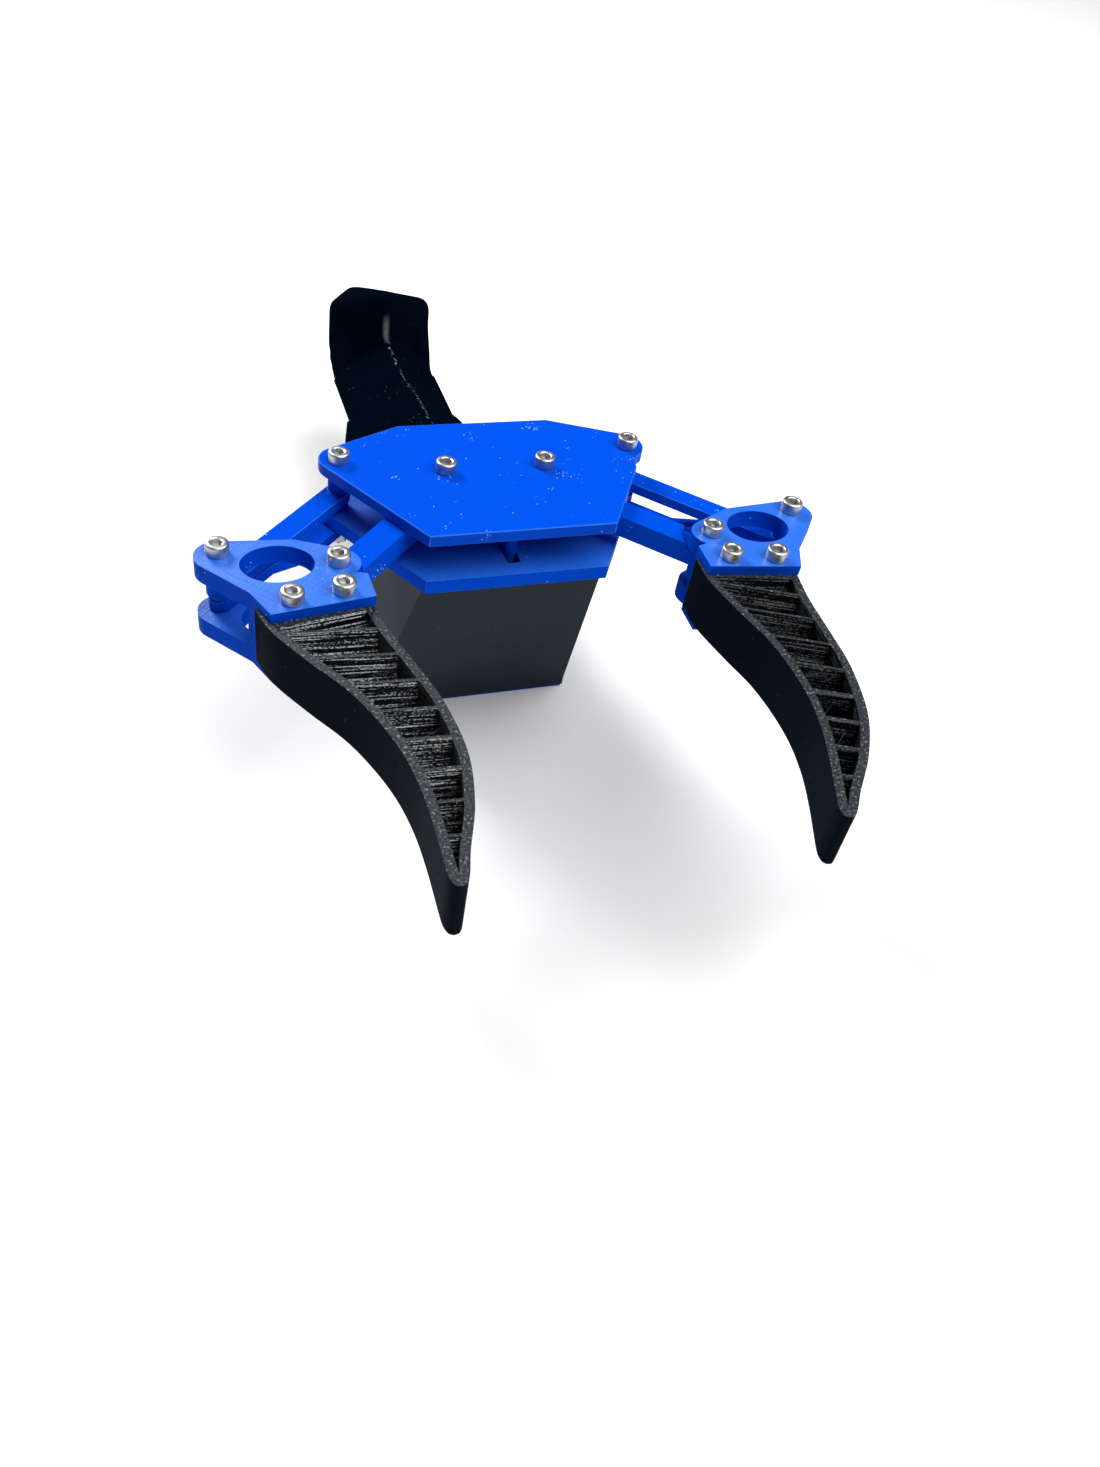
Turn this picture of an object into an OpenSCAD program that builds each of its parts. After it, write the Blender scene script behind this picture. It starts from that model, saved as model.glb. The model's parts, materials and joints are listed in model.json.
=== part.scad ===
// Two-finger parallel gripper with its housing, hydraulic cylinder and forearm.
// The drawing frame has z = 0 on the palm's top face and y = 0 on the outer pivots, with the
// fingers towards -Y. The row frame has its origin on the elbow's bolted face.

/* [Palm] */
// Half the distance between the two outer pivots
outer_half = 40; // [38:0.5:42]
// Distance of the inner pivots in front of the outer ones
inner_setback = 7; // [6:0.5:8]
// Clear height between the two palm plates
palm_gap = 10.5; // [10.5:0.5:12]
// Thickness of the top plate
top_t = 3.2; // [3:0.2:4]
// Thickness of the lower plate
lower_t = 3.9; // [3.5:0.1:4.5]

/* [Links] */
// Distance between the two pivots of a link
link_l = 48.8; // [46:0.2:52]
// Angle of the links from straight ahead, as drawn
link_angle = 45; // [44:0.2:46]
// Width of an inner link
inner_w = 7.5; // [7.5:0.1:8]
// Width of an outer link's upper bar
outer_w = 6.2; // [5.6:0.1:6.6]
// Width of an outer link's lower bar
lower_w = 5.4; // [5:0.1:6]

/* [Finger brackets] */
// Full height of a bracket
bracket_h = 20.6; // [20:0.2:22]
// Thickness of a bracket's upper and lower plate at the links
fork_t = 4.8; // [4.2:0.1:4.8]
// Thickness of the bracket's lips over and under the finger
lip_t = 2.6; // [2.4:0.1:2.8]
// Distance between the two finger screws
finger_screw_gap = 12.1; // [11.5:0.1:13]

/* [Fingers] */
// Length of a finger in front of its screws
finger_l = 84; // [80:1:90]
// Thickness of a finger's side walls
wall_t = 2.1; // [1.8:0.1:2.6]
// Thickness of the cross ribs
rib_t = 0.8; // [0.6:0.1:1.2]
// Number of cross ribs
rib_count = 8; // [6:1:8]

/* [Housing] */
// Height of the housing under the lower plate
housing_h = 60.4; // [56:0.2:64]
// Half width of the housing at its top
housing_top = 24.3; // [23.5:0.1:24.5]
// Half width of the housing at its bottom
housing_low = 31; // [29:0.5:32]
// How far the front leans back from top to bottom
front_lean = 23.8; // [20:0.2:25]
// Wall thickness of the housing
shell_t = 2.6; // [2.2:0.1:3]

/* [Forearm] */
// Half width of the forearm
arm_half = 18.3; // [18:0.1:19]
// Height of the forearm above and below its axis
arm_rise = 14; // [14:0.5:15]
// Wall thickness of the forearm
arm_t = 2.6; // [2.4:0.1:2.8]
// Distance from the outer pivots back to the elbow's bolted face
elbow_back = 147; // [145:1:150]

/* [Hydraulics] */
// Bore of the cylinder
bore_d = 12; // [11:0.5:12]
// Outer diameter of the cylinder barrel
barrel_d = 16; // [15.5:0.5:16]
// Diameter of the piston rod
rod_d = 5; // [4.5:0.5:5]

/* [Hidden] */

$fn = 48;
eps = 0.01;
blue = "royalblue";
black = [0.09, 0.09, 0.1];
steel = "silver";

// Levels, downwards from the palm's top face
gap_top = -top_t;
gap_low = gap_top - palm_gap;
lower_low = gap_low - lower_t;
housing_floor = lower_low - housing_h;
arm_axis = -44;
run_gap = 0.3;
lower_bar_t = 3;
link_boss_r = 2.7;

// M3 socket head cap screw, nut and sleeve
screw_r = 1.5;
screw_hole_r = 1.6;
head_r = 2.75;
head_h = 3;
socket_flats = 2.5;
socket_depth = 1.5;
nut_flats = 5.5;
nut_h = 2.4;
sleeve_r = 2;
sleeve_bore_r = 1.55;
pivot_play = 0.05;
open_pivot_play = 0.2;

// Rack and pinions: involute stub teeth
gear_m = 1.5;
gear_z = 12;
gear_r = gear_m * gear_z / 2;
pressure = 20;
addendum = 1;
dedendum = 1.25;
backlash = 0.12;
tooth_pitch = PI * gear_m;
rack_half = 4.5;
inner_half = gear_r + rack_half;
gear_top = gap_low + run_gap + 3.9;
gear_low = gap_low + run_gap;

// Pivots of the left side
palm_outer = [-outer_half, 0];
palm_inner = [-inner_half, -inner_setback];
link_vector = link_l * [-sin(link_angle), -cos(link_angle)];
jaw_outer = palm_outer + link_vector;
jaw_inner = palm_inner + link_vector;

// Finger screws, measured from a bracket's outer pivot
finger_mid = [19.8, -18.45];
finger_turn = 8.4;
right_lean = 1.5;
finger_axis = [cos(finger_turn), sin(finger_turn)];
finger_screws = [finger_mid - finger_axis * finger_screw_gap / 2,
                 finger_mid + finger_axis * finger_screw_gap / 2];
fork_low = -bracket_h + fork_t;
lip_low = -bracket_h + lip_t;
web_front = 3;
web_t = 2.8;

// Rack, guide peg and drive post
peg_y = -25.7;
peg_r = 1.65;
peg_tail_r = 1.3;
post_y = 2;
post_r = 2;
rack_front = -21;
rack_back = 5;
open_travel = 2.4;
close_travel = 7.8;
slot_play = 0.4;

// Housing and wrist
housing_front = -31.8;
housing_back = 26;
base_t = 3.4;
cover_t = 0.8;
post_x = 24;
post_front = 0;
post_back = 19;
tab_x = 17;
tab_ys = [-22.5, 19];
post_h = 11;
flange_t = 4;
flange_x = 18.8;
flange_zs = [arm_axis - 19, arm_axis + 16];
beam_start = housing_back + flange_t;
collar_end = 90;

// Forearm, cylinder and elbow
beam_end = 118;
beam_seats = [[44, arm_axis - arm_rise - 4.8], [74, arm_axis - arm_rise - 2.9]];
beam_screw_tip = arm_axis - arm_rise + 2.2;
elbow_screw_y = 111;
cyl_axis = arm_axis - 1.5;
gland_front = 31;
barrel_front = 38;
barrel_back = 92;
piston_front = 50;
piston_l = 8;
elbow_r = 4;
elbow_ridge = [0.6, 126.8, -16];
elbow_sides = [[-13.4, 133, -21.5], [14.7, 133, -21.5]];
elbow_backs = [[-6.5, 143, -22.2], [-1.5, 143, -23]];
elbow_low = -42;
bolt_x = 7;
bolt_z = 10;
bolt_r = 2.2;
bolt_depth = 12;
hose_r = 4;

// ---------- shared shapes ----------

module row_frame() {
    translate([0, -elbow_back, -arm_axis]) children();
}

module at(p) {
    translate([p[0], p[1], 0]) children();
}

module both_sides() {
    children();
    mirror([1, 0, 0]) children();
}

// A cylinder from level low up to level high
module rod_z(r, low, high) {
    translate([0, 0, low]) cylinder(r = r, h = high - low);
}

// A cylinder along Y from y0 back to y1, on the level z
module rod_y(r, y0, y1, z) {
    translate([0, y1, z]) rotate([90, 0, 0]) cylinder(r = r, h = y1 - y0);
}

// Socket head cap screw that hangs down from level 0
module screw(length) {
    difference() {
        union() {
            cylinder(r = head_r, h = head_h);
            rod_z(screw_r, -length, eps);
        }
        translate([0, 0, head_h - socket_depth])
            cylinder(d = socket_flats / cos(30), h = socket_depth + 1, $fn = 6);
    }
}

// Hexagon nut whose top is at level 0
module nut() {
    difference() {
        translate([0, 0, -nut_h]) cylinder(d = nut_flats / cos(30), h = nut_h, $fn = 6);
        rod_z(screw_r, -nut_h - 1, 1);
    }
}

module sleeve(low, high) {
    difference() {
        rod_z(sleeve_r, low, high);
        rod_z(sleeve_bore_r, low - 1, high + 1);
    }
}

// A smooth curve through the points of a list, with n steps between neighbours
function spline_point(a, b, c, d, t) =
    0.5 * (2 * b + (c - a) * t + (2 * a - 5 * b + 4 * c - d) * t * t
           + (3 * b - a - 3 * c + d) * t * t * t);
function spline(p, n = 6) = let (last = len(p) - 1) [
    for (i = [0 : last - 1], k = [0 : n - 1])
        spline_point(p[max(i - 1, 0)], p[i], p[i + 1], p[min(i + 2, last)], k / n),
    p[last]];

function reversed(p) = [for (i = [len(p) - 1 : -1 : 0]) p[i]];

// ---------- palm ----------

module palm_outline() {
    difference() {
        hull() {
            both_sides() translate([outer_half - 0.6, 1]) circle(r = 5.6);
            polygon([[-21.1, 15.3], [-24.5, -34.6], [24.5, -34.6], [21.1, 15.3]]);
        }
        translate([48.2, -11]) circle(r = 9);
    }
}

module pivot_holes(low, high) {
    both_sides() {
        at(palm_outer) rod_z(screw_hole_r, low, high);
        at(palm_inner) rod_z(screw_hole_r, low, high);
    }
}

// A slot along Y with round ends, cut from low up to high
module slot_y(half_w, y0, y1, low, high) {
    translate([0, y0 + half_w, 0]) rod_z(half_w, low, high);
    translate([0, y1 - half_w, 0]) rod_z(half_w, low, high);
    translate([-half_w, y0 + half_w, low]) cube([2 * half_w, y1 - y0 - 2 * half_w, high - low]);
}

spacer_at = [16, 11];

module top_plate() {
    color(blue) difference() {
        translate([0, 0, gap_top]) linear_extrude(top_t) palm_outline();
        pivot_holes(gap_top - 1, 1);
    }
}

module lower_plate() {
    peg_slot = peg_r + 0.1;
    post_slot = post_r + slot_play;
    color(blue) difference() {
        translate([0, 0, lower_low]) linear_extrude(lower_t) palm_outline();
        pivot_holes(lower_low - 1, gap_low + 1);
        translate([-peg_slot, peg_y - open_travel - peg_r - 0.1, lower_low - 1])
            cube([2 * peg_slot, open_travel + close_travel + 2 * peg_r + 0.2, lower_t + 2]);
        slot_y(post_slot, post_y - open_travel - post_slot, post_y + close_travel + post_slot,
               lower_low - 1, gap_low + 1);
        both_sides() at(spacer_at) rod_z(screw_hole_r, lower_low - 1, gap_low + 1);
        for (y = tab_ys) both_sides() translate([tab_x, y, 0]) rod_z(screw_r, lower_low - 1, gap_low - 1);
    }
}

module plate_spacers() {
    color(blue) both_sides() at(spacer_at) difference() {
        rod_z(3, gap_low, gap_top);
        rod_z(screw_r, gap_low - 1, gap_top - 2);
    }
}

module spacer_screws() {
    color(steel) both_sides() at(spacer_at) translate([0, 0, lower_low]) rotate([180, 0, 0]) screw(10);
}

module palm_screws() {
    color(steel) both_sides() {
        at(palm_outer) screw(25);
        at(palm_inner) screw(20);
    }
}

module palm_nuts() {
    color(steel) both_sides() {
        at(palm_outer) translate([0, 0, lower_low - lower_bar_t - 2 * run_gap]) nut();
        at(palm_inner) translate([0, 0, lower_low]) nut();
    }
}

module palm_sleeves() {
    color(steel) both_sides() at(palm_inner) sleeve(gap_low, gap_top);
}

// ---------- housing ----------

// The housing's block, drawn inset by the wall thickness for its inside
module housing_block(inset, low, high) {
    hull() {
        translate([-housing_top + inset, housing_front + inset, high - eps])
            cube([2 * (housing_top - inset), housing_back - housing_front - 2 * inset, eps]);
        translate([-housing_low + inset, housing_front + front_lean + inset, low])
            cube([2 * (housing_low - inset), housing_back - housing_front - front_lean - 2 * inset, eps]);
    }
}

module base_post() {
    rod_z(3.6, housing_floor, housing_floor + post_h);
}

module housing() {
    tab_t = 4;
    color(black) difference() {
        union() {
            difference() {
                housing_block(0, housing_floor, lower_low);
                housing_block(shell_t, housing_floor - eps, lower_low + eps);
            }
            both_sides() {
                translate([post_x, post_front, 0]) base_post();
                translate([post_x, post_back, 0]) base_post();
                for (y = tab_ys)
                    translate([tab_x - 3.5, y - 3.5, lower_low - tab_t]) cube([9, 7, tab_t]);
            }
        }
        both_sides() {
            translate([post_x, post_front, 0]) rod_z(screw_r, housing_floor - 1, housing_floor + 9);
            translate([post_x, post_back, 0]) rod_z(screw_r, housing_floor - 1, housing_floor + 9);
            for (y = tab_ys)
                translate([tab_x, y, 0]) rod_z(screw_hole_r, lower_low - tab_t - 1, lower_low + 1);
            for (z = flange_zs)
                translate([flange_x, 0, 0])
                    rod_y(screw_hole_r, housing_back - shell_t - 1, housing_back + 1, z);
        }
        rod_y(rod_d / 2 + 1, housing_back - shell_t - 1, housing_back + 1, cyl_axis);
    }
}

module housing_screws() {
    color(steel) both_sides() for (y = tab_ys)
        translate([tab_x, y, lower_low - 4]) rotate([180, 0, 0]) screw(6.5);
}

module base_outline(inset) {
    front = housing_front + front_lean;
    translate([-housing_low + inset, front + inset])
        square([2 * (housing_low - inset), housing_back - front - 2 * inset]);
}

// The four screw places of the base, with the part drawn at each
module base_corners() {
    both_sides() {
        translate([post_x, post_front, 0]) children();
        translate([post_x, post_back, 0]) children();
    }
}

module base_plate() {
    color(black) difference() {
        translate([0, 0, housing_floor - base_t]) linear_extrude(base_t) base_outline(0);
        base_corners() {
            rod_z(screw_hole_r, housing_floor - base_t - 1, housing_floor + 1);
            rod_z(head_r + 0.15, housing_floor - base_t - 1, housing_floor - 1);
        }
    }
}

module base_cover() {
    color(blue) difference() {
        translate([0, 0, housing_floor - base_t - cover_t]) linear_extrude(cover_t) base_outline(0.4);
        base_corners() rod_z(head_r + 0.15, housing_floor - base_t - 2, housing_floor);
    }
}

module base_screws() {
    color(steel) base_corners() translate([0, 0, housing_floor - 1]) rotate([180, 0, 0]) screw(9);
}

// ---------- forearm ----------

module arm_section(grow = 0) {
    offset(delta = grow)
        polygon([[0, arm_rise], [-arm_half, 0], [-arm_half / 2, -arm_rise], [arm_half / 2, -arm_rise],
                 [arm_half, 0]]);
}

// The forearm's section drawn along Y from y0 back to y1
module arm_bar(y0, y1, grow = 0) {
    translate([0, y1, arm_axis]) rotate([90, 0, 0]) linear_extrude(y1 - y0) arm_section(grow);
}

module wrist_collar() {
    color(black) difference() {
        union() {
            hull() {
                arm_bar(beam_start, beam_start + 1, 6);
                arm_bar(collar_end - 14, collar_end - 13, 3);
            }
            hull() {
                arm_bar(collar_end - 14, collar_end - 13, 3);
                arm_bar(collar_end - 1, collar_end, 0.6);
            }
            translate([-25, housing_back, arm_axis - 23]) cube([50, flange_t, 44]);
        }
        arm_bar(beam_start, collar_end + 1, 0.1);
        rod_y(rod_d / 2 + 1, housing_back - 1, beam_start + 1, cyl_axis);
        both_sides() for (z = flange_zs)
            translate([flange_x, 0, 0]) rod_y(screw_hole_r, housing_back - 1, beam_start + 1, z);
        for (s = beam_seats) translate([0, s[0], 0]) {
            rod_z(screw_hole_r, s[1] - 10, arm_axis);
            rod_z(head_r + 0.3, s[1] - 10, s[1]);
        }
    }
}

module collar_screws() {
    color(steel) both_sides() for (z = flange_zs)
        translate([flange_x, beam_start, z]) rotate([-90, 0, 0]) screw(10);
}

module collar_nuts() {
    color(steel) both_sides() for (z = flange_zs)
        translate([flange_x, housing_back - shell_t, z]) rotate([-90, 0, 0]) nut();
}

module forearm_beam() {
    color(black) difference() {
        arm_bar(beam_start, beam_end);
        arm_bar(beam_start - 1, beam_end + 1, -arm_t);
        for (y = [beam_seats[0][0], beam_seats[1][0], elbow_screw_y])
            translate([0, y, 0]) rod_z(screw_r, arm_axis - 30, arm_axis);
    }
}

// Screws from below that hold the forearm in the wrist collar
module beam_screws() {
    for (s = beam_seats)
        color(steel) translate([0, s[0], s[1]]) rotate([180, 0, 0]) screw(beam_screw_tip - s[1]);
}

// An upright bar with ball ends at a plan point, from level low up to the point's top
module elbow_post(p, low) {
    at(p) {
        translate([0, 0, low + elbow_r]) sphere(r = elbow_r, $fn = 24);
        translate([0, 0, p[2] - elbow_r]) sphere(r = elbow_r, $fn = 24);
    }
}

// The elbow's upright part has a ridge in front, rounded sides and a narrow raised back
module elbow_column() {
    foot = arm_axis - arm_rise;
    hull() {
        elbow_post(elbow_ridge, foot);
        for (p = elbow_sides) elbow_post(p, elbow_low);
    }
    hull() {
        elbow_post(elbow_ridge, foot);
        elbow_post(elbow_sides[0], elbow_low);
        elbow_post(elbow_sides[1] - [0, 0, 6], elbow_low);
        for (p = elbow_backs) elbow_post(p, foot);
    }
    hull() {
        for (p = elbow_sides) elbow_post(p - [0, 0, 6], elbow_low);
        elbow_block();
    }
    for (p = elbow_sides) hull() {
        elbow_post(p - [0, 0, 6], elbow_low);
        translate([sign(p[0]) * (arm_half - 2), beam_end + 3, arm_axis]) sphere(r = 1.4, $fn = 16);
        translate([sign(p[0]) * arm_half / 2, beam_end + 3, arm_axis - arm_rise + 2])
            sphere(r = 1.4, $fn = 16);
    }
}

// The block behind the elbow that carries the four bolts
module elbow_block() {
    translate([-12, elbow_back - 8, arm_axis - arm_rise]) cube([24, 8, 2 * arm_rise]);
}

module elbow() {
    color(black) difference() {
        union() {
            elbow_column();
            hull() {
                arm_bar(beam_end, beam_end + 1);
                arm_bar(beam_end + 17, beam_end + 18, -1);
            }
            arm_bar(beam_end - 14, beam_end + 1, -arm_t - 0.1);
        }
        rod_y(hose_r, beam_end - 15, elbow_back + 1, arm_axis);
        both_sides() for (z = [-bolt_z, bolt_z])
            translate([bolt_x, 0, 0])
                rod_y(bolt_r, elbow_back - bolt_depth, elbow_back + 1, arm_axis + z);
        translate([0, elbow_screw_y, 0]) rod_z(screw_r, arm_axis - 20, arm_axis - 5.5);
    }
}

module elbow_screws() {
    color(steel) translate([0, elbow_screw_y, arm_axis - arm_rise]) rotate([180, 0, 0]) screw(8);
}

// ---------- hydraulic cylinder ----------

module barrel_saddles() {
    color(blue) for (y = [46, 82]) difference() {
        arm_bar(y, y + 6, -arm_t - 0.1);
        rod_y(barrel_d / 2, y - 1, y + 7, cyl_axis);
    }
}

module cylinder_barrel() {
    color("whitesmoke") difference() {
        rod_y(barrel_d / 2, barrel_front, barrel_back, cyl_axis);
        rod_y(bore_d / 2, barrel_front - 1, barrel_back + 1, cyl_axis);
    }
}

module rod_gland() {
    color(blue) difference() {
        union() {
            rod_y(barrel_d / 2, gland_front, barrel_front, cyl_axis);
            rod_y(bore_d / 2, barrel_front - eps, barrel_front + 4, cyl_axis);
        }
        rod_y(rod_d / 2 + pivot_play, gland_front - 1, barrel_front + 5, cyl_axis);
    }
}

module cylinder_end_cap() {
    inlet_r = 1.2;
    color(blue) difference() {
        union() {
            rod_y(barrel_d / 2, barrel_back, barrel_back + 5, cyl_axis);
            rod_y(bore_d / 2, barrel_back - 4, barrel_back + eps, cyl_axis);
            rod_y(2, barrel_back + 4, barrel_back + 10, cyl_axis);
        }
        rod_y(inlet_r, barrel_back - 5, barrel_back + 11, cyl_axis);
    }
}

module piston_rod() {
    color(steel) rod_y(rod_d / 2, 7, piston_front + 4, cyl_axis);
}

module piston() {
    groove = 1.5;
    color(blue) difference() {
        rod_y(bore_d / 2 - 0.1, piston_front, piston_front + piston_l, cyl_axis);
        rod_y(rod_d / 2, piston_front - 1, piston_front + 4, cyl_axis);
        translate([0, piston_front + piston_l / 2 + groove / 2 + 1, cyl_axis]) rotate([90, 0, 0])
            difference() {
                cylinder(d = bore_d + 1, h = groove);
                translate([0, 0, -1]) cylinder(d = bore_d - 2.4, h = groove + 2);
            }
    }
}

module piston_seal() {
    groove = 1.5;
    color("dimgray") translate([0, piston_front + piston_l / 2 + groove / 2 + 1, cyl_axis])
        rotate([90, 0, 0]) difference() {
            cylinder(r = bore_d / 2 - 0.03, h = groove);
            translate([0, 0, -1]) cylinder(d = bore_d - 2.4, h = groove + 2);
        }
}

module crosshead() {
    color(blue) difference() {
        translate([-5.5, post_y - 5, cyl_axis - 5.5]) cube([11, 17, 12]);
        rod_y(rod_d / 2, 7, 30, cyl_axis);
        translate([0, post_y, 0]) rod_z(post_r, cyl_axis - 4, cyl_axis + 20);
    }
}

module drive_post() {
    color(steel) translate([0, post_y, 0]) rod_z(post_r, cyl_axis - 4, gear_top - 0.5);
}

// ---------- rack and links ----------

// One side of the rack's outline: teeth from front to back at x = rack_half
function rack_tooth(y) = let (
        half = tooth_pitch / 4 - backlash / 2,
        tip = half - addendum * tan(pressure),
        foot = half + dedendum * tan(pressure))
    [[rack_half - dedendum, y - foot], [rack_half + addendum, y - tip],
     [rack_half + addendum, y + tip], [rack_half - dedendum, y + foot]];

module rack_outline() {
    teeth = [for (k = [-2.5 : 1 : 1.5]) each rack_tooth(-inner_setback + k * tooth_pitch)];
    side = rack_half - dedendum;
    polygon(concat([[0, rack_front], [side, rack_front]], teeth, [[side, rack_back], [0, rack_back]]));
}

module drive_rack() {
    color(blue) translate([0, 0, gear_low]) difference() {
        union() {
            both_sides() linear_extrude(gear_top - gear_low) rack_outline();
            translate([-peg_r, peg_y, 0]) cube([2 * peg_r, rack_front - peg_y + 1, gear_top - gear_low]);
        }
        translate([0, peg_y, -1]) cylinder(r = peg_r, h = 10);
        translate([0, post_y, -1]) cylinder(r = post_r, h = gear_top - gear_low + 0.5);
    }
}

// Peg at the rack's front end, which the slot in the lower plate guides
module guide_peg() {
    color(blue) translate([0, peg_y, 0]) {
        rod_z(peg_r, gear_low, gap_top - run_gap);
        rod_z(peg_tail_r, lower_low + 0.5, gear_low);
    }
}

function involute(a) = tan(a) * 180 / PI - a;
function half_tooth(r) = let (base = gear_r * cos(pressure))
    90 / gear_z - backlash / gear_r * 45 / PI + involute(pressure) - involute(acos(base / r));
function polar(r, a) = r * [cos(a), sin(a)];

module pinion_outline() {
    base = gear_r * cos(pressure) + 0.001;
    tip = gear_r + addendum;
    root = gear_r - dedendum;
    steps = 4;
    flank = [for (i = [0 : steps]) base + (tip - base) * i / steps];
    turn = 360 / gear_z;
    polygon([for (k = [0 : gear_z - 1]) each concat(
        [polar(root, k * turn - half_tooth(base))],
        [for (r = flank) polar(r, k * turn - half_tooth(r))],
        [for (r = reversed(flank)) polar(r, k * turn + half_tooth(r))],
        [polar(root, k * turn + half_tooth(base))])]);
}

// A bar from the palm's pivot to the jaw's pivot, with round ends
module link_bar(width, low, high) {
    angle = atan2(link_vector[1], link_vector[0]);
    rotate([0, 0, angle]) translate([0, 0.1 - width / 2, low]) cube([link_l, width - 0.2, high - low]);
    rod_z(width / 2, low, high);
    at(link_vector) rod_z(width / 2, low, high);
}

palm_high = gap_top - run_gap;
palm_low = gap_low + run_gap;
jaw_high = -fork_t - run_gap;
jaw_low = fork_low + run_gap;

// The space under a bracket's plate that the end of an inner link keeps clear
module bracket_relief() {
    angle = atan2(link_vector[1], link_vector[0]);
    rotate([0, 0, angle]) translate([link_l + 0.7, -3.5, 0]) rod_z(9, jaw_high, 1);
}

module inner_link() {
    color(blue) at(palm_inner) difference() {
        union() {
            link_bar(inner_w, -9.4, palm_high);
            rod_z(5.2, palm_low, palm_high);
            translate([0, 0, gear_low]) linear_extrude(gear_top - gear_low) pinion_outline();
            at(link_vector) rod_z(inner_w / 2, jaw_low, jaw_high);
        }
        rod_z(sleeve_r + pivot_play, palm_low - 1, 1);
        at(link_vector) rod_z(sleeve_r + pivot_play, jaw_low - 1, 1);
        bracket_relief();
    }
}

// Outline of an outer link's bars, seen from above and measured from its palm pivot
module outer_outline(width) {
    hull() {
        circle(d = width);
        at(link_vector) circle(d = width);
    }
}

// The upper bar of an outer link, with a boss between the palm plates and one in the fork
module outer_link() {
    color(blue) at(palm_outer) difference() {
        union() {
            translate([0, 0, -11.5]) linear_extrude(3) outer_outline(outer_w);
            rod_z(link_boss_r, palm_low, palm_high);
            at(link_vector) rod_z(link_boss_r, jaw_low + lower_bar_t + run_gap, jaw_high);
        }
        rod_z(screw_r + pivot_play, palm_low - 1, 1);
        at(link_vector) rod_z(screw_r + open_pivot_play, jaw_low - 1, 1);
    }
}

// The lower bar of an outer link: under the palm at one end, and low in the fork at the other
module lower_link() {
    palm_level = lower_low - run_gap - lower_bar_t;
    angle = atan2(link_vector[1], link_vector[0]);
    level_l = 17;
    sloped_to = link_l - level_l;
    profile = [[-9, palm_level], [level_l, palm_level], [sloped_to, jaw_low], [link_l + 9, jaw_low],
               [link_l + 9, jaw_low + lower_bar_t], [sloped_to, jaw_low + lower_bar_t],
               [level_l, palm_level + lower_bar_t], [-9, palm_level + lower_bar_t]];
    color(blue) at(palm_outer) difference() {
        intersection() {
            rotate([0, 0, angle]) rotate([90, 0, 0]) translate([0, 0, -lower_w])
                linear_extrude(2 * lower_w) polygon(profile);
            translate([0, 0, palm_level - 9]) linear_extrude(30) outer_outline(lower_w);
        }
        rod_z(screw_r + pivot_play, palm_level - 1, palm_level + lower_bar_t + 1);
        at(link_vector) rod_z(screw_r + open_pivot_play, jaw_low - 1, jaw_low + lower_bar_t + 1);
    }
}

// ---------- jaws ----------

// Outline of a bracket plate, seen from above and measured from its outer pivot
module bracket_outline() {
    tip = jaw_inner - jaw_outer;
    hull() {
        translate([0, -1.2]) circle(r = 5.5);
        polygon([[17.8, 2.8], [5, -15.4], [24, -15]]);
        at(tip) circle(r = 5.2);
    }
    polygon([[5, -15.4], [8.5, -23.6], [32.5, -20.4], [32.3, -12], [20, -8]]);
}

module oval_outline() {
    n = 56;
    polygon([for (i = [0 : n - 1]) [12.6 + 8.5 * cos(360 * i / n), -5.9 + 6.8 * sin(360 * i / n)]]);
}

// The strip between the fork and the finger, in the finger's own axes
module web_outline() {
    at(finger_mid) rotate([0, 0, finger_turn])
        translate([-30, web_front]) square([60, web_t]);
}

// The part of the plan behind the web, where the links run
module fork_side() {
    at(finger_mid) rotate([0, 0, finger_turn])
        translate([-40, web_front + web_t]) square([80, 40]);
}

// The part of the plan in front of the web, where the finger's root sits
module finger_side() {
    at(finger_mid) rotate([0, 0, finger_turn])
        translate([-40, -40]) square([80, 40 + web_front]);
}

module bracket() {
    color(blue) difference() {
        translate([0, 0, -bracket_h]) linear_extrude(bracket_h) bracket_outline();
        translate([0, 0, fork_low]) linear_extrude(-fork_t - fork_low) fork_side();
        translate([0, 0, lip_low]) linear_extrude(-lip_t - lip_low) finger_side();
        translate([0, 0, -bracket_h - 1]) linear_extrude(bracket_h + 2) difference() {
            oval_outline();
            web_outline();
        }
        for (p = concat([[0, 0], jaw_inner - jaw_outer], finger_screws))
            at(p) rod_z(screw_hole_r, -bracket_h - 1, 1);
    }
}

// Side walls of a finger: across from the middle of its screws, and forward of them
left_wall = [[-13.9, -2.6], [-12.7, 6], [-8.2, 17.5], [-3.5, 28], [-0.7, 38], [0.8, 48],
             [0.8, 58], [-0.4, 68], [-2, 77], [-2.6, 81], [-2.3, 83.2], [-1.4, finger_l]];
right_wall = [[11.8, -2.6], [11.9, 12], [13.6, 26], [14.7, 38], [13.6, 53], [9.4, 66],
              [3.9, 76.5], [1.9, 80.8], [0.7, 83], [-0.3, finger_l]];

module finger_outline() {
    polygon([for (p = concat(spline(left_wall), reversed(spline(right_wall)))) [p[0], -p[1]]]);
}

module finger_ribs() {
    first = 8.3;
    spacing = 8.95;
    lean = 0.22;
    reach = 16;
    for (i = [0 : rib_count - 1]) let (v = first + spacing * i + 0.6)
        polygon([[-reach, -v + lean * reach], [reach, -v - lean * reach],
                 [reach, -v - rib_t - lean * reach], [-reach, -v - rib_t + lean * reach]]);
}

module finger_pockets() {
    difference() {
        intersection() {
            offset(delta = -wall_t) finger_outline();
            translate([-30, -finger_l]) square([60, finger_l - 5]);
        }
        finger_ribs();
    }
}

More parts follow.
